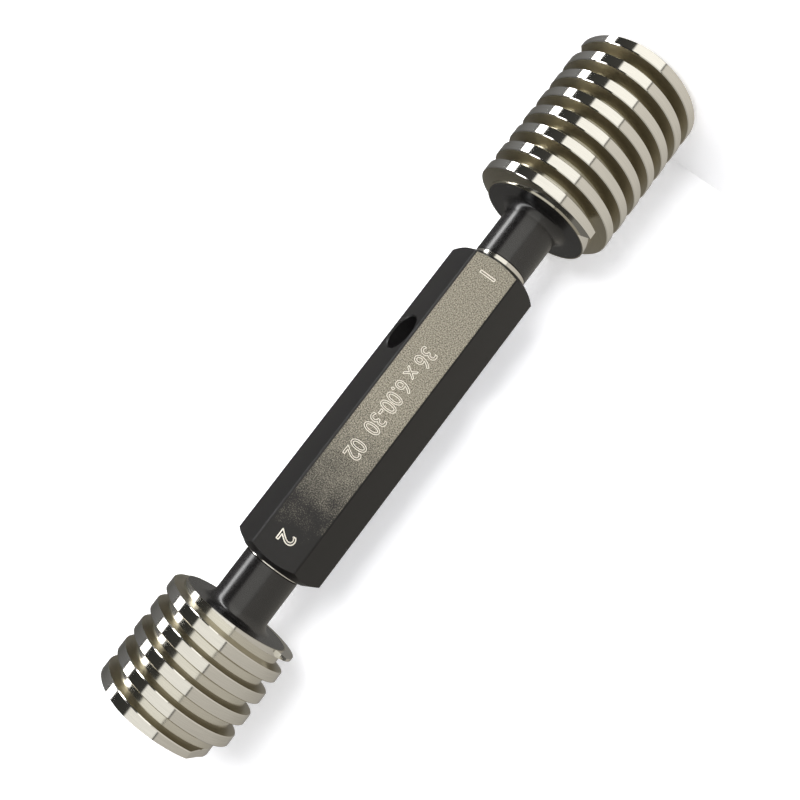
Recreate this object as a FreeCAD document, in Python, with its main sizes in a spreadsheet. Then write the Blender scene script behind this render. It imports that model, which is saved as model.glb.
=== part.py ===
import FreeCAD, Part
import os
import Sketcher
from FreeCAD import Placement, Rotation, Vector

# Double-ended thread plug gauge, trapezoidal thread with a 6 mm lead, left hand.
#
# Three loose pieces: a hexagonal steel handle with a taper socket in each end, and two gauging
# members, go and no-go, each one piece of ground steel with a threaded head, a neck and a plain
# taper shank that locks in its socket. A round drift hole across the handle meets the end of the
# go socket, and a narrow passage runs on from it to the no-go socket.
#
# Frame: the gauge stands on the outer face of its go head. The origin is the middle of that face,
# +Z runs up the axis towards the no-go head, and the marked flat of the handle faces -Y.
# All lengths are millimetres and all angles degrees.

SIZES = (
    # The handle, a length of hexagon bar with a turned chamfer on each end
    ("handle_across_flats", 21.6),
    ("handle_length", 91.9),
    ("handle_edge_radius", 0.8),
    ("handle_face_diameter", 17.6),
    ("handle_chamfer_angle", 30.0),
    # The drift hole, which lies just past the tail of the go member's shank
    ("drift_hole_diameter", 10.0),
    ("drift_hole_gap", 0.3),
    ("drift_hole_direction", -30.0),
    ("drift_hole_chamfer", 0.35),
    # The taper fit of both members: 1 in 50 on the diameter
    ("taper_large_diameter", 14.8),
    ("taper_run", 50.0),
    ("taper_clearance", 0.02),
    ("shank_length", 22.8),
    ("shank_tail_chamfer", 1.0),
    ("socket_end_gap", 1.3),
    ("socket_mouth_chamfer", 0.3),
    ("passage_diameter", 6.0),
    # The thread form that both members share
    ("pitch", 6.0),
    ("flank_angle", 15.0),
    ("crest_width", 2.8),
    ("tooth_sink", 0.5),
    ("start_flat_rise", 0.1),
    # Centre holes in the outer faces, for grinding between centres
    ("centre_hole_mouth", 5.0),
    ("centre_hole_pilot", 2.0),
    ("centre_hole_depth", 5.5),
    # The go member
    ("go_major_diameter", 36.8),
    ("go_root_diameter", 29.5),
    ("go_head_length", 45.65),
    ("go_head_chamfer", 0.3),
    ("go_neck_diameter", 15.2),
    ("go_neck_length", 15.2),
    ("go_neck_fillet", 2.5),
    ("go_seat_standoff", 1.5),
    ("go_start_angle", 20.0),
    ("go_start_height", -0.2),
    ("go_end_inset", 1.15),
    # The no-go member
    ("no_go_major_diameter", 34.6),
    ("no_go_root_diameter", 29.4),
    ("no_go_head_length", 29.76),
    ("no_go_head_chamfer", 0.3),
    ("no_go_neck_diameter", 15.2),
    ("no_go_neck_length", 14.2),
    ("no_go_neck_fillet", 2.5),
    ("no_go_seat_standoff", 0.4),
    ("no_go_start_angle", 165.0),
    ("no_go_start_height", 0.08),
    ("no_go_end_inset", -0.38),
)

# Room left round a cut so that it runs clear of the metal it trims.
CLEAR = 2.0

# Lengths that several pieces share, as formulas on the sheet.
HANDLE_BASE = "sizes.go_head_length + sizes.go_neck_length + sizes.go_seat_standoff"
NO_GO_REACH = "sizes.no_go_head_length + sizes.no_go_neck_length + sizes.no_go_seat_standoff"
OVERALL = f"{HANDLE_BASE} + sizes.handle_length + {NO_GO_REACH}"
TAPER_RADIUS = "sizes.taper_large_diameter / 2"
SOCKET_DEPTH = "sizes.shank_length + sizes.socket_end_gap"
DRIFT_HOLE_RADIUS = "sizes.drift_hole_diameter / 2"


def make_sheet(doc):
    """The driving sizes, one to a row: the name in column A and its value in column B."""
    sheet = doc.addObject("Spreadsheet::Sheet", "sizes")
    for row, (alias, value) in enumerate(SIZES, start=1):
        sheet.set(f"A{row}", alias)
        sheet.set(f"B{row}", str(value))
        sheet.setAlias(f"B{row}", alias)
    doc.recompute()
    return sheet


def origin_plane(body, role):
    """One of the body's own origin planes, found by its role."""
    return next(feature for feature in body.Origin.OriginFeatures if feature.Role == role)


def new_sketch(body, name, role, turn_axis=None, turn=None):
    """An empty sketch on an origin plane, turned about one of its own axes where turn is given."""
    sketch = body.newObject("Sketcher::SketchObject", name)
    sketch.AttachmentSupport = [(origin_plane(body, role), "")]
    sketch.MapMode = "FlatFace"
    if turn:
        sketch.AttachmentOffset = Placement(Vector(0, 0, 0), Rotation(turn_axis, 1.0))
        sketch.setExpression("AttachmentOffset.Rotation.Angle", f"({turn}) * 1 deg")
    return sketch


def bind(sketch, index, formula):
    """Ties one dimension of a sketch to a formula on the sheet, in millimetres."""
    sketch.setExpression(f"Constraints[{index}]", f"({formula}) * 1 mm")


def outline(sketch, corners):
    """A closed outline of straight sides. Each corner is a pair of formulas, across and up."""
    count = len(corners)
    for number, _ in enumerate(corners):
        start = Vector(number % 3 + 1.0, number + 1.0, 0)
        end = Vector((number + 1) % 3 + 1.0, (number + 1) % count + 1.0, 0)
        sketch.addGeometry(Part.LineSegment(start, end))
    for number in range(count):
        sketch.addConstraint(Sketcher.Constraint("Coincident", number, 2, (number + 1) % count, 1))
    for number, (across, up) in enumerate(corners):
        bind(sketch, sketch.addConstraint(Sketcher.Constraint("DistanceX", number, 1, 1.0)), across)
        bind(sketch, sketch.addConstraint(Sketcher.Constraint("DistanceY", number, 1, 1.0)), up)
    return sketch


def turned(body, kind, name, corners):
    """A Revolution or a Groove of an outline drawn beside the Z axis."""
    profile = outline(new_sketch(body, f"{name}_profile", "XZ_Plane"), corners)
    feature = body.newObject(f"PartDesign::{kind}", name)
    feature.Profile = profile
    feature.ReferenceAxis = (profile, ["V_Axis"])
    feature.Angle = 360.0
    return feature


def edge_names(shape, wanted):
    """The names of the shape's edges that pass a test."""
    return [f"Edge{number}" for number, edge in enumerate(shape.Edges, start=1) if wanted(edge)]


def dress(doc, body, kind, name, base, wanted, size_property, formula):
    """A Fillet or a Chamfer on the edges of a feature that pass a test."""
    doc.recompute()
    feature = body.newObject(f"PartDesign::{kind}", name)
    feature.Base = (base, edge_names(base.Shape, wanted))
    feature.setExpression(size_property, f"({formula}) * 1 mm")
    return feature


def make_handle(doc, sheet):
    """The hexagonal handle, in its own frame: its go end on Z = 0 and its bar up Z."""
    body = doc.addObject("PartDesign::Body", "handle")
    body.Label = "handle"
    corner = "sizes.handle_across_flats / sqrt(3)"
    hexagon = [(f"{corner} * cos({60 * k} deg)", f"{corner} * sin({60 * k} deg)") for k in range(6)]
    section = outline(new_sketch(body, "hexagon", "XY_Plane"), hexagon)
    bar = body.newObject("PartDesign::Pad", "bar")
    bar.Profile = section
    bar.setExpression("Length", "sizes.handle_length * 1 mm")

    # The six long edges of the bar are slightly rounded.
    dress(
        doc, body, "Fillet", "bar_edges", bar,
        lambda edge: abs(edge.tangentAt(edge.FirstParameter).z) > 0.99,
        "Radius", "sizes.handle_edge_radius",
    )

    # The turned chamfer, which makes each flat end in an arc, at the go end and the no-go end.
    face = "sizes.handle_face_diameter / 2"
    outside = f"sizes.handle_across_flats / sqrt(3) + {CLEAR}"
    rise = f"({outside} - {face}) * tan(sizes.handle_chamfer_angle * 1 deg)"
    for name, height, sign in (("go_end", "0", "+"), ("no_go_end", "sizes.handle_length", "-")):
        away = "-" if sign == "+" else "+"
        turned(body, "Groove", f"{name}_chamfer", [
            (face, height),
            (outside, f"{height} {sign} {rise}"),
            (outside, f"{height} {away} {CLEAR}"),
            (face, f"{height} {away} {CLEAR}"),
        ])

    # Both taper sockets, their small mouth chamfers and the passage between them, as one cut.
    mouth = f"{TAPER_RADIUS} + sizes.taper_clearance"
    bottom = f"{mouth} - ({SOCKET_DEPTH}) / (2 * sizes.taper_run)"
    ease = "sizes.socket_mouth_chamfer"
    length = "sizes.handle_length"
    passage = "sizes.passage_diameter / 2"
    turned(body, "Groove", "sockets", [
        ("0", f"-{CLEAR}"),
        (f"{mouth} + {ease}", f"-{CLEAR}"),
        (f"{mouth} + {ease}", "0"),
        (mouth, ease),
        (bottom, SOCKET_DEPTH),
        (passage, SOCKET_DEPTH),
        (passage, f"{length} - ({SOCKET_DEPTH})"),
        (bottom, f"{length} - ({SOCKET_DEPTH})"),
        (mouth, f"{length} - {ease}"),
        (f"{mouth} + {ease}", length),
        (f"{mouth} + {ease}", f"{length} + {CLEAR}"),
        ("0", f"{length} + {CLEAR}"),
    ])

    # The drift hole, square to two of the side flats, right across the bar.
    across = new_sketch(
        body, "drift_circle", "YZ_Plane", Vector(0, 1, 0), "sizes.drift_hole_direction"
    )
    across.addGeometry(Part.Circle(Vector(0, 1, 0), Vector(0, 0, 1), 1.0))
    across.addConstraint(Sketcher.Constraint("PointOnObject", 0, 3, -2))
    radius = across.addConstraint(Sketcher.Constraint("Radius", 0, 1.0))
    bind(across, radius, DRIFT_HOLE_RADIUS)
    station = across.addConstraint(Sketcher.Constraint("DistanceY", 0, 3, 1.0))
    bind(across, station, f"sizes.shank_length + sizes.drift_hole_gap + {DRIFT_HOLE_RADIUS}")
    hole = body.newObject("PartDesign::Pocket", "drift_hole")
    hole.Profile = across
    hole.SideType = "Symmetric"
    hole.setExpression("Length", "sizes.handle_across_flats * 2 * 1 mm")

    # The rim of the hole is broken on both flats.
    way = Rotation(Vector(0, 0, 1), float(sheet.drift_hole_direction)).multVec(Vector(1, 0, 0))
    flat = sheet.handle_across_flats / 2

    def on_side_flat(edge):
        points = edge.discretize(5)
        return edge.isClosed() and all(abs(abs(point.dot(way)) - flat) < 0.01 for point in points)

    dress(doc, body, "Chamfer", "drift_rims", hole, on_side_flat, "Size", "sizes.drift_hole_chamfer")
    body.setExpression("Placement.Base.z", f"({HANDLE_BASE}) * 1 mm")
    return body


def make_member(doc, which):
    """A gauging member in its own frame: its outer face on Z = 0 and its shank pointing up Z.

    The core, neck and shank are turned in one piece. The thread is a ridge wound left-handed up
    the core from one blunt start to the other, and both head faces then cut it square.
    """
    body = doc.addObject("PartDesign::Body", f"{which}_member")
    body.Label = f"{which}_member"
    crest = f"sizes.{which}_major_diameter / 2"
    root = f"sizes.{which}_root_diameter / 2"
    neck = f"sizes.{which}_neck_diameter / 2"
    head = f"sizes.{which}_head_length"
    chamfer = f"sizes.{which}_head_chamfer"
    neck_top = f"{head} + sizes.{which}_neck_length"
    shank_foot = f"{neck_top} + sizes.{which}_seat_standoff"
    tail = f"{shank_foot} + sizes.shank_length"
    slant = "(2 * sizes.taper_run)"
    proud = f"{TAPER_RADIUS} + sizes.{which}_seat_standoff / {slant}"
    tail_radius = f"{TAPER_RADIUS} - sizes.shank_length / {slant}"
    pilot = "sizes.centre_hole_pilot / 2"
    mouth = "sizes.centre_hole_mouth / 2"
    cone_depth = f"({mouth} - {pilot}) * sqrt(3)"

    core = turned(body, "Revolution", f"{which}_core", [
        (mouth, "0"),
        (root, "0"),
        (root, head),
        (neck, head),
        (neck, neck_top),
        (proud, neck_top),
        (f"{tail_radius}", f"{tail} - sizes.shank_tail_chamfer"),
        (f"{tail_radius} - sizes.shank_tail_chamfer", tail),
        ("0", tail),
        ("0", "sizes.centre_hole_depth"),
        (pilot, "sizes.centre_hole_depth"),
        (pilot, cone_depth),
    ])
    doc.recompute()
    at_neck = doc.getObject("sizes").get(f"{which}_head_length")
    neck_radius = doc.getObject("sizes").get(f"{which}_neck_diameter") / 2

    def neck_root(edge):
        box = edge.BoundBox
        return abs(box.ZMax - at_neck) + abs(box.ZMin - at_neck) + abs(box.XMax - neck_radius) < 0.01

    dress(doc, body, "Fillet", f"{which}_neck_root", core, neck_root,
          "Radius", f"sizes.{which}_neck_fillet")

    # The tooth's section at the thread's outer start. It is sunk a little into the core.
    half = "sizes.crest_width / 2"
    slope = "tan(sizes.flank_angle * 1 deg)"
    inner = f"{root} - sizes.tooth_sink"
    foot = f"{half} + ({crest} - {inner}) * {slope}"
    middle = f"sizes.{which}_start_height"
    section = outline(
        new_sketch(body, f"{which}_tooth", "XZ_Plane", Vector(0, 1, 0), f"sizes.{which}_start_angle"),
        [
            (inner, f"{middle} - ({foot})"),
            (crest, f"{middle} - {half}"),
            (crest, f"{middle} + {half}"),
            (inner, f"{middle} + {foot}"),
        ],
    )
    thread = body.newObject("PartDesign::AdditiveHelix", f"{which}_thread")
    thread.Profile = section
    thread.ReferenceAxis = (section, ["V_Axis"])
    thread.Mode = "pitch-turns-angle"
    thread.LeftHanded = True
    thread.setExpression("Pitch", "sizes.pitch * 1 mm")
    thread.setExpression("Turns", f"({head} - {middle} - sizes.{which}_end_inset) / sizes.pitch")

    # The two faces of the head cut the ends of the thread, with a small chamfer on its crest.
    outside = f"{crest} + {CLEAR}"
    inside = f"{root} - 2 * sizes.tooth_sink"
    reach = "sizes.pitch"
    for name, height, sign in (("outer", "0", "+"), ("inner", head, "-")):
        away = "-" if sign == "+" else "+"
        turned(body, "Groove", f"{which}_{name}_face", [
            (inside, height),
            (f"{crest} - {chamfer}", height),
            (crest, f"{height} {sign} {chamfer}"),
            (outside, f"{height} {sign} {chamfer}"),
            (outside, f"{height} {away} {reach}"),
            (inside, f"{height} {away} {reach}"),
        ])

    # The outer start of the thread is milled to a flat that runs out just above the core, so
    # that no thin first thread is left. It stops in the groove between the first turn and the
    # second.
    plane = f"{root} + sizes.start_flat_rise"
    run = f"sqrt(({crest})^2 - ({root})^2) + {CLEAR}"
    floor = f"{middle} + sizes.pitch * 13 / 24"
    flat = outline(
        new_sketch(body, f"{which}_start_flat", "XY_Plane", Vector(0, 0, 1), f"sizes.{which}_start_angle"),
        [(plane, f"-({run})"), (outside, f"-({run})"), (outside, f"{CLEAR}"), (plane, f"{CLEAR}")],
    )
    blunt = body.newObject("PartDesign::Pocket", f"{which}_blunt_start")
    blunt.Profile = flat
    blunt.Reversed = True
    blunt.setExpression("Length", f"({floor}) * 1 mm")
    return body


def check(doc, bodies):
    """Stops if any object failed to build, or if a piece is not one sound solid."""
    doc.recompute()
    for item in doc.Objects:
        if "Invalid" in item.State or "Error" in item.State:
            raise RuntimeError(f"{item.Name} did not build: {item.State}")
    for body in bodies:
        shape = body.Shape
        if shape.isNull() or not shape.isValid() or len(shape.Solids) != 1:
            raise RuntimeError(f"{body.Label} is not one valid solid")
        box = shape.BoundBox
        print(f"{body.Label}: volume {shape.Volume:.1f} mm3, Z {box.ZMin:.2f} to {box.ZMax:.2f}")


def main():
    doc = FreeCAD.newDocument("thread_plug_gauge")
    sheet = make_sheet(doc)
    handle = make_handle(doc, sheet)
    go_member = make_member(doc, "go")
    no_go_member = make_member(doc, "no_go")

    # The no-go member is turned over, its shank down in the top socket.
    no_go_member.Placement = Placement(Vector(0, 0, 1), Rotation(Vector(1, 0, 0), 180))
    no_go_member.setExpression("Placement.Base.z", f"({OVERALL}) * 1 mm")

    bodies = (handle, go_member, no_go_member)
    check(doc, bodies)
    os.makedirs("parts", exist_ok=True)
    for body in bodies:
        body.Shape.exportStep(f"parts/{body.Label}.step")


main()
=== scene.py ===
"""Studio scene of a double-ended thread plug gauge.

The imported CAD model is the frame: metres, +Z up the gauge's axis, the marked flat facing -Y. The two
gauging members are rebuilt as fine helical surfaces from the sizes below, which are in millimetres,
and the handle keeps its CAD form. Nothing moves, so every piece rides on "root".
"""

import logging
import math
from dataclasses import dataclass, field
from enum import Enum

import bmesh
import bpy
import numpy as np
from mathutils import Matrix, Vector

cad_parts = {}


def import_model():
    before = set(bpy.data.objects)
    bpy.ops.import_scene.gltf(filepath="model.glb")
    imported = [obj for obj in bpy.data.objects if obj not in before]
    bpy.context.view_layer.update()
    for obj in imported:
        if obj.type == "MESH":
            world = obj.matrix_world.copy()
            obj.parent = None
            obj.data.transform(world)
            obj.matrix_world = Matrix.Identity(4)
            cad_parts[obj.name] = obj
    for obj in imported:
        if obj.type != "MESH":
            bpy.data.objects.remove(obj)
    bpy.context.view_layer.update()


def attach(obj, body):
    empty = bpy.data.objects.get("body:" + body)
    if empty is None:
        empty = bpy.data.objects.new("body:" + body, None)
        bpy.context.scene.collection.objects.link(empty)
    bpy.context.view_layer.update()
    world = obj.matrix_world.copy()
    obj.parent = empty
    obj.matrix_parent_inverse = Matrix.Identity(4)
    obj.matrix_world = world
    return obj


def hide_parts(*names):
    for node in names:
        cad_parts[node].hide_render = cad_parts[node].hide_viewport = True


MM = 0.001
MERGE_DISTANCE = 0.0005 * MM

LOG = logging.getLogger("thread_plug_gauge")


# ---------------------------------------------------------------------------------------- colour


def linear(code: str) -> tuple[float, float, float, float]:
    """Turns an sRGB hex colour into linear light.

    Args:
        code: six hex digits with a leading hash.

    Returns:
        Red, green, blue and an alpha of 1.
    """
    parts = [int(code[i : i + 2], 16) / 255 for i in (1, 3, 5)]
    light = [c / 12.92 if c <= 0.04045 else ((c + 0.055) / 1.055) ** 2.4 for c in parts]
    return light[0], light[1], light[2], 1.0


def add_node(
    tree: bpy.types.NodeTree, kind: str, settings: dict | None = None, inputs: dict | None = None
) -> bpy.types.Node:
    """Adds one node with its settings and its inputs.

    Args:
        tree: the node tree that gets the node.
        kind: the node's type name.
        settings: attribute names and their values.
        inputs: socket names or numbers, each with a value or with the output socket to link.

    Returns:
        The new node.
    """
    node = tree.nodes.new(kind)
    for name, value in (settings or {}).items():
        setattr(node, name, value)
    for key, value in (inputs or {}).items():
        socket = node.inputs[key]
        if isinstance(value, bpy.types.NodeSocket):
            tree.links.new(value, socket)
        else:
            socket.default_value = value
    return node


def shade(colour: tuple, level: float) -> tuple[float, float, float, float]:
    """Makes a linear colour lighter or darker and leaves its alpha at 1.

    Args:
        colour: a linear colour, with or without its alpha.
        level: what red, green and blue are multiplied by.

    Returns:
        The new colour.
    """
    red, green, blue = (part * level for part in colour[:3])
    return red, green, blue, 1.0


def set_stops(ramp: bpy.types.ColorRamp, stops: list[tuple[float, tuple]]) -> None:
    """Puts the given stops into a colour ramp, in order.

    Args:
        ramp: the ramp of a Color Ramp node.
        stops: pairs of a place from 0 to 1 and a linear colour.
    """
    while len(ramp.elements) > 1:
        ramp.elements.remove(ramp.elements[-1])
    ramp.elements[0].position, ramp.elements[0].color = stops[0]
    for place, colour in stops[1:]:
        ramp.elements.new(place).color = colour


def new_material(name: str) -> tuple[bpy.types.Material, bpy.types.NodeTree, bpy.types.Node]:
    """Makes a material with a Principled BSDF.

    Args:
        name: the material's name.

    Returns:
        The material, its node tree and the Principled BSDF node.
    """
    material = bpy.data.materials.new(name)
    material.use_nodes = True
    tree = material.node_tree
    return material, tree, tree.nodes["Principled BSDF"]


def noise(
    tree: bpy.types.NodeTree, grain: tuple[float, float, float], detail: float
) -> bpy.types.NodeSocket:
    """Noise on object coordinates, with a grain of its own along each axis.

    Args:
        tree: the material's node tree.
        grain: the noise's size along X, Y and Z, in millimetres.
        detail: how many finer layers the noise has.

    Returns:
        The noise's value.
    """
    place = add_node(tree, "ShaderNodeTexCoord").outputs["Object"]
    scale = tuple(1 / (size * MM) for size in grain)
    mapping = add_node(tree, "ShaderNodeMapping", {}, {"Vector": place, "Scale": scale})
    inputs = {"Vector": mapping.outputs["Vector"], "Scale": 1.0, "Detail": detail}
    return add_node(tree, "ShaderNodeTexNoise", {}, inputs).outputs["Fac"]


def compute(
    tree: bpy.types.NodeTree, operation: str, *values: float | bpy.types.NodeSocket
) -> bpy.types.NodeSocket:
    """Adds one Math node, clamped where the operation is written with a trailing plus.

    Args:
        tree: the node tree.
        operation: the name of the Math operation, such as MULTIPLY.
        values: numbers or sockets, in order.

    Returns:
        The result's socket.
    """
    settings = {"operation": operation.rstrip("+"), "use_clamp": operation.endswith("+")}
    node = add_node(tree, "ShaderNodeMath", settings, dict(enumerate(values)))
    return node.outputs[0]


# -------------------------------------------------------------------------------------- finishes


@dataclass(frozen=True)
class GroundSteel:
    """Hardened gauge steel, ground between centres: a mirror-like metal with fine grinding lines.

    Grinding lines run round the work, so the noise is long across the axis and short along it.
    They are 0.12 mm apart here, coarser than real ones, so that they show.
    """

    name: str
    colour: str
    roughness: float
    line_spacing: float = 0.12
    line_length: float = 6.0
    line_strength: float = 0.04
    line_dimming: float = 0.93

    def build(self) -> bpy.types.Material:
        """Makes the material.

        Returns:
            The material.
        """
        material, tree, shader = new_material(self.name)
        lines = noise(tree, (self.line_length, self.line_length, self.line_spacing), 3.0)
        colour = add_node(tree, "ShaderNodeValToRGB", {}, {"Fac": lines})
        bright = linear(self.colour)
        set_stops(colour.color_ramp, [(0.35, shade(bright, self.line_dimming)), (0.65, bright)])
        bump = add_node(
            tree,
            "ShaderNodeBump",
            {},
            {"Height": lines, "Strength": self.line_strength, "Distance": 0.05 * MM},
        )
        shader.inputs["Metallic"].default_value = 1.0
        shader.inputs["Roughness"].default_value = self.roughness
        tree.links.new(colour.outputs["Color"], shader.inputs["Base Color"])
        tree.links.new(bump.outputs["Normal"], shader.inputs["Normal"])
        return material


@dataclass(frozen=True)
class BlackOxide:
    """Black oxide on turned steel: a thin dark oiled skin, satin and slightly speckled."""

    name: str
    colour: str
    roughness: float
    speck: float = 0.25
    index: float = 1.65

    def build(self) -> bpy.types.Material:
        """Makes the material.

        Returns:
            The material.
        """
        material, tree, shader = new_material(self.name)
        grain = noise(tree, (self.speck,) * 3, 2.0)
        colour = add_node(tree, "ShaderNodeValToRGB", {}, {"Fac": grain})
        base = linear(self.colour)
        set_stops(colour.color_ramp, [(0.3, shade(base, 0.6)), (0.7, shade(base, 1.5))])
        bump = add_node(
            tree, "ShaderNodeBump", {}, {"Height": grain, "Strength": 0.15, "Distance": 0.03 * MM}
        )
        shader.inputs["IOR"].default_value = self.index
        shader.inputs["Roughness"].default_value = self.roughness
        tree.links.new(colour.outputs["Color"], shader.inputs["Base Color"])
        tree.links.new(bump.outputs["Normal"], shader.inputs["Normal"])
        return material


@dataclass(frozen=True)
class HandleSkin:
    """Black oxide on hexagon bar, with a mottled grey, partly metallic panel on the marked flat.

    The panel is whole at the go end and breaks up into black towards the no-go end. It is
    told from the other flats by its place alone: it is what lies within flat_depth of the marked
    flat's plane.
    """

    name: str = "black_oxide_handle"
    oxide: str = "#131212"
    panel_light: str = "#9a9485"
    panel_dark: str = "#4d4a41"
    flat_plane: float = 10.8
    flat_depth: float = 0.03
    edge: float = 5.72
    fade_start: float = 108.0
    fade_end: float = 140.0
    grain: float = 0.3
    fine_share: float = 1.1
    soft_share: float = 0.6
    index: float = 1.4
    metal: float = 0.4
    oxide_roughness: float = 0.38
    panel_roughness: float = 0.5

    def build(self) -> bpy.types.Material:
        """Makes the material.

        Returns:
            The material.
        """
        material, tree, shader = new_material(self.name)
        place = add_node(tree, "ShaderNodeTexCoord").outputs["Object"]
        axes = add_node(tree, "ShaderNodeSeparateXYZ", {}, {"Vector": place})
        x, y, z = (axes.outputs[name] for name in "XYZ")

        # Mottle: a fine grain over soft blotches ten times as wide
        fine = noise(tree, (self.grain,) * 3, 4.0)
        soft = noise(tree, (10 * self.grain,) * 3, 3.0)
        panel = add_node(tree, "ShaderNodeValToRGB", {}, {"Fac": fine})
        set_stops(panel.color_ramp, [(0.36, linear(self.panel_dark)), (0.64, linear(self.panel_light))])

        # How much of the flat is the grey panel: all at the go end, none past fade_end, in grains
        span = (self.fade_end - self.fade_start) * MM
        panel_share = compute(tree, "DIVIDE", compute(tree, "SUBTRACT", self.fade_end * MM, z), span)
        grains = compute(tree, "MULTIPLY", compute(tree, "SUBTRACT", fine, 0.5), self.fine_share)
        blotches = compute(tree, "MULTIPLY", compute(tree, "SUBTRACT", soft, 0.5), self.soft_share)
        panel_share = compute(tree, "ADD", panel_share, grains)
        panel_share = compute(tree, "ADD+", panel_share, blotches)
        on_flat = compute(tree, "LESS_THAN", y, -(self.flat_plane - self.flat_depth) * MM)
        inside = compute(tree, "LESS_THAN", x, self.edge * MM)
        mask = compute(tree, "MULTIPLY", compute(tree, "MULTIPLY", on_flat, inside), panel_share)

        skin = add_node(
            tree,
            "ShaderNodeMix",
            {"data_type": "RGBA"},
            {"Factor": mask, "A": linear(self.oxide), "B": panel.outputs["Color"]},
        )
        rough = add_node(
            tree,
            "ShaderNodeMapRange",
            {},
            {"Value": mask, "To Min": self.oxide_roughness, "To Max": self.panel_roughness},
        )
        bump = add_node(
            tree, "ShaderNodeBump", {}, {"Height": fine, "Strength": 0.25, "Distance": 0.03 * MM}
        )
        shader.inputs["IOR"].default_value = self.index
        tree.links.new(compute(tree, "MULTIPLY", mask, self.metal), shader.inputs["Metallic"])
        tree.links.new(skin.outputs["Result"], shader.inputs["Base Color"])
        tree.links.new(rough.outputs["Result"], shader.inputs["Roughness"])
        tree.links.new(bump.outputs["Normal"], shader.inputs["Normal"])
        return material


@dataclass(frozen=True)
class EtchedLine:
    """The pale frosted line that an electric etching pen leaves in oxide."""

    name: str = "etched_line"
    colour: str = "#cfcabd"

    def build(self) -> bpy.types.Material:
        """Makes the material.

        Returns:
            The material.
        """
        material, _, shader = new_material(self.name)
        shader.inputs["Base Color"].default_value = linear(self.colour)
        shader.inputs["Roughness"].default_value = 0.7
        return material


@dataclass(frozen=True)
class StudioPaper:
    """Pale matt paper that reads white: it glows a little to rays that aren't diffuse ones."""

    name: str
    colour: str = "#eeeef0"
    glow: float = 0.36
    one_sided: bool = False

    def build(self) -> bpy.types.Material:
        """Makes the material.

        Returns:
            The material.
        """
        material = bpy.data.materials.new(self.name)
        material.use_nodes = True
        tree = material.node_tree
        tree.nodes.clear()
        paper = add_node(tree, "ShaderNodeBsdfDiffuse", {}, {"Color": linear(self.colour)})
        ray = add_node(tree, "ShaderNodeLightPath")
        seen = compute(tree, "MAXIMUM", ray.outputs["Is Camera Ray"], ray.outputs["Is Glossy Ray"])
        seen = compute(tree, "MAXIMUM", seen, ray.outputs["Is Transmission Ray"])
        glow = add_node(
            tree,
            "ShaderNodeEmission",
            {},
            {"Color": (1.0, 1.0, 1.0, 1.0), "Strength": compute(tree, "MULTIPLY", seen, self.glow)},
        )
        surface = add_node(
            tree, "ShaderNodeAddShader", {}, {0: paper.outputs["BSDF"], 1: glow.outputs["Emission"]}
        ).outputs["Shader"]
        if self.one_sided:
            clear = add_node(tree, "ShaderNodeBsdfTransparent")
            side = add_node(tree, "ShaderNodeNewGeometry").outputs["Backfacing"]
            surface = add_node(
                tree, "ShaderNodeMixShader", {}, {"Fac": side, 1: surface, 2: clear.outputs["BSDF"]}
            ).outputs["Shader"]
        add_node(tree, "ShaderNodeOutputMaterial", {}, {"Surface": surface})
        return material


class Zone(Enum):
    """The finishes of a gauging member, in the order of its material slots."""

    CREST = 0
    FLANK = 1
    ROOT = 2
    OXIDE = 3
    SEAT = 4


# ---------------------------------------------------------------------------------------- meshes


def put_mesh(
    name: str, points: np.ndarray, faces: np.ndarray, zones: np.ndarray | None = None
) -> bpy.types.Object:
    """Makes a mesh object from points in millimetres, merges its seams and smooths it.

    Args:
        name: the object's name.
        points: an (n, 3) array in millimetres, in the gauge's frame.
        faces: an (m, 4) array of point numbers.
        zones: the material slot of each face, or None for slot 0.

    Returns:
        The object, linked to the scene.
    """
    mesh = bpy.data.meshes.new(name)
    mesh.from_pydata((points * MM).tolist(), [], faces.tolist())
    if zones is not None:
        mesh.polygons.foreach_set("material_index", zones.astype(np.int32))
    obj = bpy.data.objects.new(name, mesh)
    bpy.context.scene.collection.objects.link(obj)
    tidy_mesh(obj)
    return obj


def tidy_mesh(obj: bpy.types.Object, sharp: float = 22.0) -> None:
    """Merges doubles, drops faces without area and shades the mesh smooth up to an angle.

    Args:
        obj: a mesh object.
        sharp: edges that turn by more than this many degrees stay sharp.
    """
    work = bmesh.new()
    work.from_mesh(obj.data)
    bmesh.ops.remove_doubles(work, verts=work.verts, dist=MERGE_DISTANCE)
    bmesh.ops.dissolve_degenerate(work, edges=work.edges, dist=MERGE_DISTANCE)
    bmesh.ops.recalc_face_normals(work, faces=work.faces)
    work.to_mesh(obj.data)
    work.free()
    obj.data.shade_smooth()
    obj.data.set_sharp_from_angle(angle=math.radians(sharp))


# The finish of each strip of one turn of thread, from one foot of the tooth to the next turn's
STRIPS = [Zone.FLANK] * 2 + [Zone.CREST] * 6 + [Zone.FLANK] * 2 + [Zone.ROOT]


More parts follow.
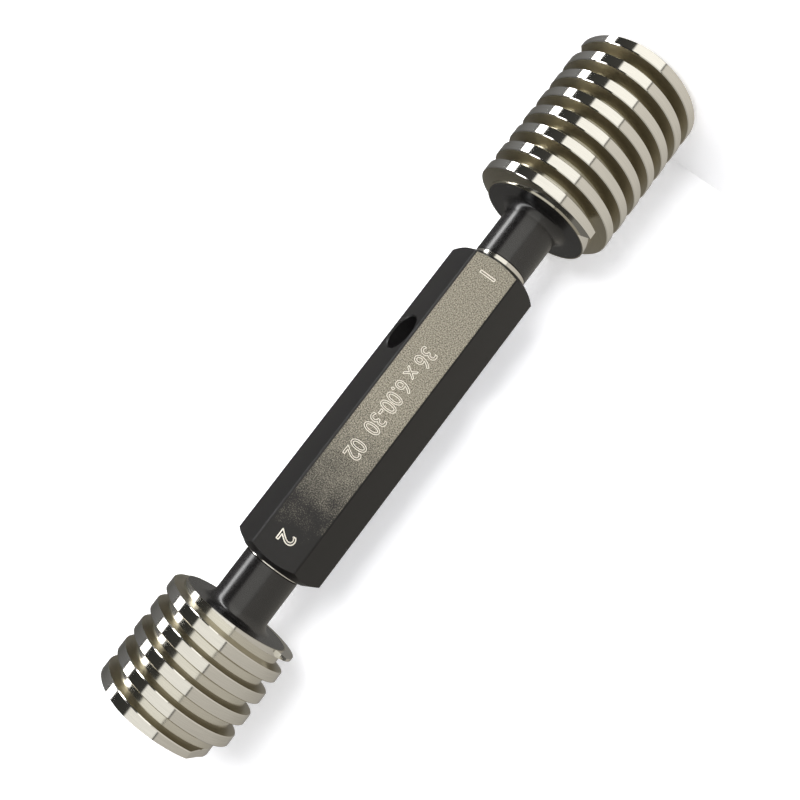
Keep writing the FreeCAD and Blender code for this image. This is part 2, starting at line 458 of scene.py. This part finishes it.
@dataclass
class GaugingMember:
    """A threaded head with its neck and taper shank, as one closed helical surface.

    Sizes are in millimetres. The member has a frame of its own, with the head's outer face on
    Z = 0 and the shank pointing up Z, and place carries it into the gauge's frame.
    """

    name: str
    node: str
    crest_radius: float
    root_radius: float
    head_length: float
    neck_length: float
    standoff: float
    start_angle: float
    start_height: float
    end_inset: float
    place: Matrix
    neck_radius: float = 7.6
    neck_fillet: float = 2.5
    pitch: float = 6.0
    crest_width: float = 2.8
    flank_angle: float = 15.0
    head_chamfer: float = 0.3
    crest_break: float = 0.16
    flat_rise: float = 0.1
    flat_reach: float = 80.0
    taper_radius: float = 7.4
    taper_run: float = 50.0
    shank_length: float = 22.8
    centre_mouth: float = 2.5
    centre_pilot: float = 1.0
    centre_depth: float = 5.5
    tail_chamfer: float = 1.0
    face_inset: float = 0.35
    shoulder_ease: float = 0.25
    shoulder_inset: float = 0.15
    columns: int = 240
    half: float = field(init=False)
    slope: float = field(init=False)
    foot: float = field(init=False)
    turns: float = field(init=False)

    def __post_init__(self) -> None:
        """Works out the tooth's half width, its flank slope and the number of turns."""
        self.half = self.crest_width / 2
        self.slope = math.tan(math.radians(self.flank_angle))
        self.foot = self.half + (self.crest_radius - self.root_radius) * self.slope
        self.turns = (self.head_length - self.start_height - self.end_inset) / self.pitch

    def sweep(self) -> np.ndarray:
        """The columns' angles past the thread's start, in degrees, against the way X turns to Y.

        The column where the tooth ends is doubled, a hair apart, so that the end is a clean wall.

        Returns:
            A rising array from 0 to 360.
        """
        even = np.linspace(0.0, 360.0, self.columns + 1)
        end = (self.turns % 1.0) * 360.0
        hair = 1e-4
        return np.sort(np.concatenate([even, [end - hair, end + hair]]))

    def tooth_top(self, sweep: np.ndarray, turn: np.ndarray) -> np.ndarray:
        """The radius of the tooth's top: the crest, the start flat, or the root where it has ended.

        The start flat is a plane at root plus rise, square to the start angle, so its radius is
        that distance over the cosine of the sweep. It ends at flat_reach degrees at the latest.

        Args:
            sweep: the columns' angles in degrees, as a column vector.
            turn: the number of each turn of thread, as a row vector.

        Returns:
            An array of radii, one row to a column of the grid and one column to a turn.
        """
        wound = sweep + 360.0 * turn
        there = (wound >= 0.0) & (wound <= 360.0 * self.turns)
        top = np.where(there, self.crest_radius, self.root_radius)
        cosine = np.cos(np.radians(np.clip(wound, 0.0, self.flat_reach)))
        flat = (self.root_radius + self.flat_rise) / cosine
        return np.where(there & (wound < self.flat_reach), np.minimum(top, flat), top)

    def thread_rows(self, sweep: np.ndarray) -> tuple[np.ndarray, np.ndarray, np.ndarray]:
        """The thread's rows: each follows the helix, and is held between the two face chamfers.

        A row lies at an offset from the middle of its tooth. The radius there is the least of the
        tooth's top, a 45 degree edge break and the flank, and never less than the root.

        Args:
            sweep: the columns' angles in degrees.

        Returns:
            Heights and radii, each one row of the grid to a line, and each row's zone.
        """
        turn = np.arange(-1, math.ceil(self.head_length / self.pitch) + 2)
        top = self.tooth_top(sweep[:, None], turn[None, :])[:, :, None]
        edge = self.half + (self.crest_radius - top) * self.slope
        broken = self.crest_break / (1 + self.slope)
        steps = np.array([-1.0, -0.5, 0.0, 0.5, 1.0])[None, None, :]
        land = edge - np.minimum(self.crest_break, edge)
        parts = [
            -self.foot * np.ones_like(edge),
            -(self.foot + edge) / 2,
            -(edge + broken * self.slope),
            land * steps,
            edge + broken * self.slope,
            (self.foot + edge) / 2,
            self.foot * np.ones_like(edge),
        ]
        offset = np.concatenate(parts, axis=2)
        zones = np.array([strip.value for strip in STRIPS])
        middle = self.start_height + self.pitch * (sweep[:, None, None] / 360.0 + turn[None, :, None])
        height = np.clip(middle + offset, self.head_chamfer, self.head_length - self.head_chamfer)
        away = np.abs(height - middle)
        flank = self.root_radius + (self.foot - away) / self.slope
        break_line = top - (away - (edge - self.crest_break))
        radius = np.maximum(self.root_radius, np.minimum(np.minimum(top, break_line), flank))
        count = turn.size * offset.shape[2]
        shape = (sweep.size, count)
        return height.reshape(shape).T, radius.reshape(shape).T, np.tile(zones, turn.size)

    def turned_rows(self, profile: list[tuple[float, float]], size: int) -> tuple[np.ndarray, np.ndarray]:
        """Rows of the grid that are the same all the way round.

        Args:
            profile: pairs of a radius and a height.
            size: the number of columns.

        Returns:
            Heights and radii, one row of the grid to a line.
        """
        both = np.array(profile)
        return np.repeat(both[:, 1:], size, axis=1), np.repeat(both[:, :1], size, axis=1)

    def outer_profile(self) -> list[tuple[float, float]]:
        """The centre hole, from its bottom on the axis to its mouth in the outer face.

        Returns:
            Pairs of a radius and a height.
        """
        cone = (self.centre_mouth - self.centre_pilot) * math.sqrt(3)
        return [
            (0.0, self.centre_depth),
            (self.centre_pilot, self.centre_depth),
            (self.centre_pilot, cone),
            (self.centre_mouth, 0.0),
        ]

    def inner_profile(self) -> tuple[list[tuple[float, float]], list[Zone]]:
        """The inner face, the neck's fillet, the neck, the seat and the shank, out from the root.

        The fillet is a quarter circle round a point one fillet radius from the neck and the face.

        Returns:
            Pairs of a radius and a height, and the zone of the strip that ends at each.
        """
        face = self.head_length
        fillet = self.neck_fillet
        turn = np.linspace(0.0, math.pi / 2, 10)
        curve = [
            (self.neck_radius + fillet - fillet * math.sin(a), face + fillet - fillet * math.cos(a))
            for a in turn
        ]
        shoulder = face + self.neck_length
        foot = shoulder + self.standoff
        tail = foot + self.shank_length
        slant = 1 / (2 * self.taper_run)
        proud = self.taper_radius + self.standoff * slant
        slim = self.taper_radius - self.shank_length * slant
        eased = (self.neck_radius, shoulder - self.shoulder_ease)
        points = [(self.root_radius - self.face_inset, face), *curve, eased]
        zones = [Zone.OXIDE] * len(points)
        ends = [
            (self.neck_radius - self.shoulder_inset, shoulder),
            (proud, shoulder),
            (self.taper_radius, foot),
            (slim, tail - self.tail_chamfer),
            (slim - self.tail_chamfer, tail),
            (0.0, tail),
        ]
        return points + ends, zones + [Zone.OXIDE] + [Zone.SEAT] * 5

    def build(self) -> bpy.types.Object:
        """Makes the member's mesh.

        Returns:
            The mesh object.
        """
        sweep = self.sweep()
        size = sweep.size
        height, radius, zones = self.thread_rows(sweep)
        first, last = radius[0], radius[-1]
        outer_edge = np.minimum(first, self.crest_radius - self.head_chamfer)
        inner_edge = np.minimum(last, self.crest_radius - self.head_chamfer)
        low_z, low_r = self.turned_rows(self.outer_profile(), size)
        profile, turned_zones = self.inner_profile()
        high_z, high_r = self.turned_rows(profile, size)
        level = np.ones((1, size))
        all_z = np.concatenate([low_z, 0.0 * level, height, self.head_length * level, high_z])
        all_r = np.concatenate([low_r, outer_edge[None], radius, inner_edge[None], high_r])
        row_zones = np.concatenate([
            np.full(len(low_z) - 1, Zone.SEAT.value),
            [Zone.CREST.value, Zone.CREST.value],
            zones[:-1],
            [Zone.CREST.value, Zone.FLANK.value],
            [zone.value for zone in turned_zones[1:]],
        ])
        angle = np.radians(self.start_angle - sweep)[None, :]
        points = np.stack([all_r * np.cos(angle), all_r * np.sin(angle), all_z], axis=-1)

        rows = all_z.shape[0]
        number = np.arange(rows * size).reshape(rows, size)
        grid = np.stack([number[:-1, :-1], number[:-1, 1:], number[1:, 1:], number[1:, :-1]], axis=-1)
        grid_zones = np.repeat(row_zones[: rows - 1], size - 1)

        # The wall where the tooth starts joins each turn's last column to the next turn's first
        per_turn = len(STRIPS)
        begin = len(low_z) + 1
        end = begin + height.shape[0]
        one = number[begin + per_turn : end, 0]
        two = number[begin : end - per_turn, -1]
        wall = np.stack([one[:-1], one[1:], two[1:], two[:-1]], axis=-1)
        faces = np.concatenate([grid.reshape(-1, 4), wall])
        face_zones = np.concatenate([grid_zones, np.full(len(wall), Zone.FLANK.value)])

        flat = points.reshape(-1, 3)
        turned = flat @ np.array(self.place.to_3x3()).T + np.array(self.place.translation)
        obj = put_mesh(self.name, turned, faces, face_zones)
        LOG.info("%s: %d faces", self.name, len(obj.data.polygons))
        return obj


@dataclass
class Handle:
    """The hexagonal handle: the CAD node's own form, merged into one mesh."""

    node: str = "handle"
    name: str = "handle_bar"
    sharp: float = 6.0

    def build(self) -> bpy.types.Object:
        """Copies the CAD node's mesh, merges it and shades it smooth up to a small angle.

        Returns:
            The mesh object.
        """
        source = bpy.data.objects[self.node]
        obj = bpy.data.objects.new(self.name, source.data.copy())
        bpy.context.scene.collection.objects.link(obj)
        tidy_mesh(obj, self.sharp)
        obj.data.materials.clear()
        LOG.info("%s: %d faces", self.name, len(obj.data.polygons))
        return obj


@dataclass
class EtchedNumber:
    """A plain number in hollow etched lines, lying on the marked flat and read up the handle."""

    name: str
    text: str
    middle: tuple[float, float]
    height: float
    line_radius: float
    length: float = 0.0
    plane: float = 10.8
    proud: float = 0.012

    def build(self) -> bpy.types.Object:
        """Draws the outlines as flat ribbons, squeezes them to the length and lays them on the flat.

        Returns:
            The mesh object, with its place in its mesh.
        """
        curve = bpy.data.curves.new(self.name, "FONT")
        curve.body = self.text
        curve.fill_mode = "NONE"
        curve.resolution_u = 4
        source = bpy.data.objects.new(self.name, curve)
        bpy.context.scene.collection.objects.link(source)
        depsgraph = bpy.context.evaluated_depsgraph_get()
        outline = bpy.data.meshes.new_from_object(source.evaluated_get(depsgraph))
        places = np.array([v.co[:2] for v in outline.vertices])
        pairs = np.array([e.vertices[:] for e in outline.edges])
        bpy.data.objects.remove(source)
        bpy.data.curves.remove(curve)
        low, high = places.min(axis=0), places.max(axis=0)
        scale = np.array([self.height / (high - low)[1]] * 2)
        if self.length:
            scale[0] = self.length / (high - low)[0]
        drawn = (places - (low + high) / 2) * scale
        points, faces = self.ribbons(drawn, pairs)
        x = self.middle[0] - points[:, 1]
        z = self.middle[1] + points[:, 0]
        y = np.full_like(x, -(self.plane + self.proud))
        obj = put_mesh(self.name, np.stack([x, y, z], axis=-1), faces)
        LOG.info("%s: %d faces", self.name, len(obj.data.polygons))
        return obj

    def ribbons(self, places: np.ndarray, pairs: np.ndarray) -> tuple[np.ndarray, np.ndarray]:
        """Draws each edge of an outline as a flat ribbon, a little longer than the edge.

        The four corners are the two ends, moved back and on by a third of the line's radius and
        out to both sides by the radius.

        Args:
            places: the outline's points, in millimetres.
            pairs: the numbers of each edge's two points.

        Returns:
            The ribbons' points and faces.
        """
        start, end = places[pairs[:, 0]], places[pairs[:, 1]]
        way = end - start
        way = way / np.maximum(np.linalg.norm(way, axis=1, keepdims=True), 1e-9)
        side = np.stack([-way[:, 1], way[:, 0]], axis=-1) * self.line_radius
        more = way * self.line_radius / 3
        corners = np.stack(
            [start - more - side, end + more - side, end + more + side, start - more + side], axis=1
        )
        return corners.reshape(-1, 2), np.arange(len(pairs) * 4).reshape(-1, 4)


# ----------------------------------------------------------------------------------------- studio


@dataclass(frozen=True)
class Studio:
    """Floor, backdrop, lamps, surroundings and camera. Places are in millimetres."""

    backdrop_y: float = 19.0
    reach: float = 600.0
    camera_place: tuple[float, float, float] = (-20.14, -222.78, 130.57)
    camera_right: tuple[float, float, float] = (-0.79883, -0.00145, -0.60156)
    camera_up: tuple[float, float, float] = (0.59506, -0.14852, -0.78984)
    lens: float = 40.555
    key_place: tuple[float, float, float] = (210.0, -330.0, 25.0)
    key_size: float = 330.0
    key_power: float = 4.6

    def sheet(self, name: str, corners: list[tuple[float, float, float]], paper: StudioPaper) -> None:
        """A flat sheet of paper from its four corners, left out of reflections.

        Args:
            name: the sheet's name.
            corners: its corners in order, in millimetres, against the clock from its lit side.
            paper: its finish.
        """
        mesh = bpy.data.meshes.new(name)
        mesh.from_pydata([tuple(c * MM for c in corner) for corner in corners], [], [(0, 1, 2, 3)])
        obj = bpy.data.objects.new(name, mesh)
        obj.data.materials.append(paper.build())
        obj.visible_glossy = False
        bpy.context.scene.collection.objects.link(obj)

    def build_sheets(self) -> None:
        """Lays the floor under the gauge and stands the backdrop close behind it."""
        far, back = self.reach, self.backdrop_y
        floor = [(-far, -far, 0.0), (far, -far, 0.0), (far, far, 0.0), (-far, far, 0.0)]
        self.sheet("floor", floor, StudioPaper("floor_paper"))
        wall = [(-far, back, 0.0), (far, back, 0.0), (far, back, far), (-far, back, far)]
        self.sheet("backdrop", wall, StudioPaper("backdrop_paper", one_sided=True))

    def build_key(self) -> None:
        """Hangs a broad square lamp up and to the right, for soft shadows to the left behind."""
        data = bpy.data.lights.new("key", "AREA")
        data.shape = "SQUARE"
        data.size = self.key_size * MM
        data.energy = self.key_power
        lamp = bpy.data.objects.new("key", data)
        place = Vector(self.key_place)
        aim = Vector((0.0, 0.0, 100.0)) - place
        turn = aim.to_track_quat("-Z", "Y").to_matrix().to_4x4()
        lamp.matrix_world = Matrix.Translation(place * MM) @ turn
        lamp.visible_glossy = False
        bpy.context.scene.collection.objects.link(lamp)

    def build_world(self) -> None:
        """Surrounds the gauge with broad light and dark panels, told by their angle round its axis.

        The angle is 0 straight ahead of the marked flat and grows towards -X. The camera sees
        plain white, matt surfaces see an even grey, and reflections see the panels. The panels'
        colours are stored as shares of the brightest one, and dim a little towards +Z.
        """
        panels = [
            (-180, "#8c8a86", 1.0), (-140, "#6c6b68", 1.0), (-96, "#8a8a8a", 1.0), (-91, "#2a2a2a", 1.0),
            (-89, "#ffffff", 8.0), (-76, "#ffffff", 8.0), (-74, "#3a3a38", 1.0), (-38, "#454440", 1.0),
            (-35, "#fffdf6", 1.3), (18.5, "#fffdf6", 1.3), (19.2, "#17140f", 1.0), (20.8, "#17140f", 1.0),
            (21.5, "#ece7dd", 0.95), (100, "#e4dfd5", 0.9), (150, "#c9c4ba", 0.9), (180, "#8c8a86", 1.0),
        ]
        peak = max(level for _, _, level in panels)
        tilt, mean = -0.3, 0.92
        grey, white = (0.5, 0.5, 0.5, 1.0), (1.0, 1.0, 1.0, 1.0)
        world = bpy.data.worlds.new("studio")
        bpy.context.scene.world = world
        world.use_nodes = True
        tree = world.node_tree
        tree.nodes.clear()
        way = add_node(tree, "ShaderNodeTexCoord").outputs["Generated"]
        axes = add_node(tree, "ShaderNodeSeparateXYZ", {}, {"Vector": way})
        across = compute(tree, "MULTIPLY", axes.outputs["X"], -1.0)
        ahead = compute(tree, "MULTIPLY", axes.outputs["Y"], -1.0)
        angle = compute(tree, "ARCTAN2", across, ahead)
        share = compute(tree, "ADD", compute(tree, "DIVIDE", angle, 2 * math.pi), 0.5)
        ramp = add_node(tree, "ShaderNodeValToRGB", {}, {"Fac": share})
        stops = [
            ((degrees + 180) / 360, shade(linear(code), level / peak))
            for degrees, code, level in panels
        ]
        set_stops(ramp.color_ramp, stops)
        ray = add_node(tree, "ShaderNodeLightPath")
        axial = compute(tree, "MULTIPLY_ADD", axes.outputs["Z"], tilt * peak, mean * peak)
        panels_lit = add_node(
            tree, "ShaderNodeVectorMath", {"operation": "SCALE"}, {0: ramp.outputs["Color"], "Scale": axial}
        )
        lit = add_node(
            tree,
            "ShaderNodeMix",
            {"data_type": "RGBA"},
            {
                "Factor": ray.outputs["Is Glossy Ray"],
                "A": grey,
                "B": panels_lit.outputs["Vector"],
            },
        )
        shown = add_node(
            tree,
            "ShaderNodeMix",
            {"data_type": "RGBA"},
            {"Factor": ray.outputs["Is Camera Ray"], "A": lit.outputs["Result"], "B": white},
        )
        background = add_node(
            tree, "ShaderNodeBackground", {}, {"Color": shown.outputs["Result"], "Strength": 1.0}
        )
        add_node(tree, "ShaderNodeOutputWorld", {}, {"Surface": background.outputs["Background"]})

    def build_camera(self) -> None:
        """Sets up the camera from its place and the directions of its right and its top."""
        data = bpy.data.cameras.new("camera")
        data.lens = self.lens
        data.sensor_width = 36.0
        data.clip_start = 0.01
        camera = bpy.data.objects.new("camera", data)
        right, up = Vector(self.camera_right).normalized(), Vector(self.camera_up).normalized()
        back = right.cross(up)
        turn = Matrix((right, up, back)).transposed().to_4x4()
        camera.matrix_world = Matrix.Translation(Vector(self.camera_place) * MM) @ turn
        bpy.context.scene.collection.objects.link(camera)
        bpy.context.scene.camera = camera

    def build(self) -> None:
        """Builds the whole studio."""
        self.build_sheets()
        self.build_key()
        self.build_world()
        self.build_camera()
        bpy.context.scene.view_settings.view_transform = "Standard"


def main() -> None:
    """Builds the gauge and its studio."""
    logging.basicConfig(level=logging.INFO, format="%(name)s: %(message)s")
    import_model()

    overall = 198.61
    members = [
        GaugingMember(
            "go_gauge", "go_member", 18.4, 14.75, 45.65, 15.2, 1.5, 20.0, -0.2, 1.15, Matrix.Identity(4)
        ),
        GaugingMember(
            "no_go_gauge", "no_go_member", 17.3, 14.7, 29.76, 14.2, 0.4, 165.0, 0.08, -0.38,
            Matrix.Translation((0.0, 0.0, overall)) @ Matrix.Rotation(math.pi, 4, "X"),
        ),
    ]
    finishes = [
        GroundSteel("ground_crest", "#dad8d2", 0.075),
        # The flank finish is darker and more olive than the crest's: painted shade for the thread's
        # grooves.
        GroundSteel("ground_flank_painted_shade", "#b3ad9c", 0.34),
        # The root finish is a little darker than the crest's: painted shade at the bottom of the grooves.
        GroundSteel("ground_root_painted_shade", "#d2cfc4", 0.14),
        BlackOxide("black_oxide_neck", "#0d0c0c", 0.24),
        GroundSteel("ground_seat", "#d9d6cf", 0.15),
    ]
    skins = [finish.build() for finish in finishes]
    for member in members:
        obj = member.build()
        for skin in skins:
            obj.data.materials.append(skin)
        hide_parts(member.node)
        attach(obj, "root")

    handle = Handle()
    bar = handle.build()
    bar.data.materials.append(HandleSkin().build())
    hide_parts(handle.node)
    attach(bar, "root")

    etched = EtchedLine().build()
    marks = [
        EtchedNumber("go_mark", "1", (0.1, 67.8), 4.2, 0.09),
        EtchedNumber("size_marks", "36 x 6.00-30  02", (0.0, 107.0), 4.3, 0.075, 32.0),
        EtchedNumber("no_go_mark", "2", (0.2, 146.8), 4.2, 0.14),
    ]
    for mark in marks:
        obj = mark.build()
        obj.data.materials.append(etched)
        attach(obj, "root")

    Studio().build()


if __name__ == "__main__":
    main()
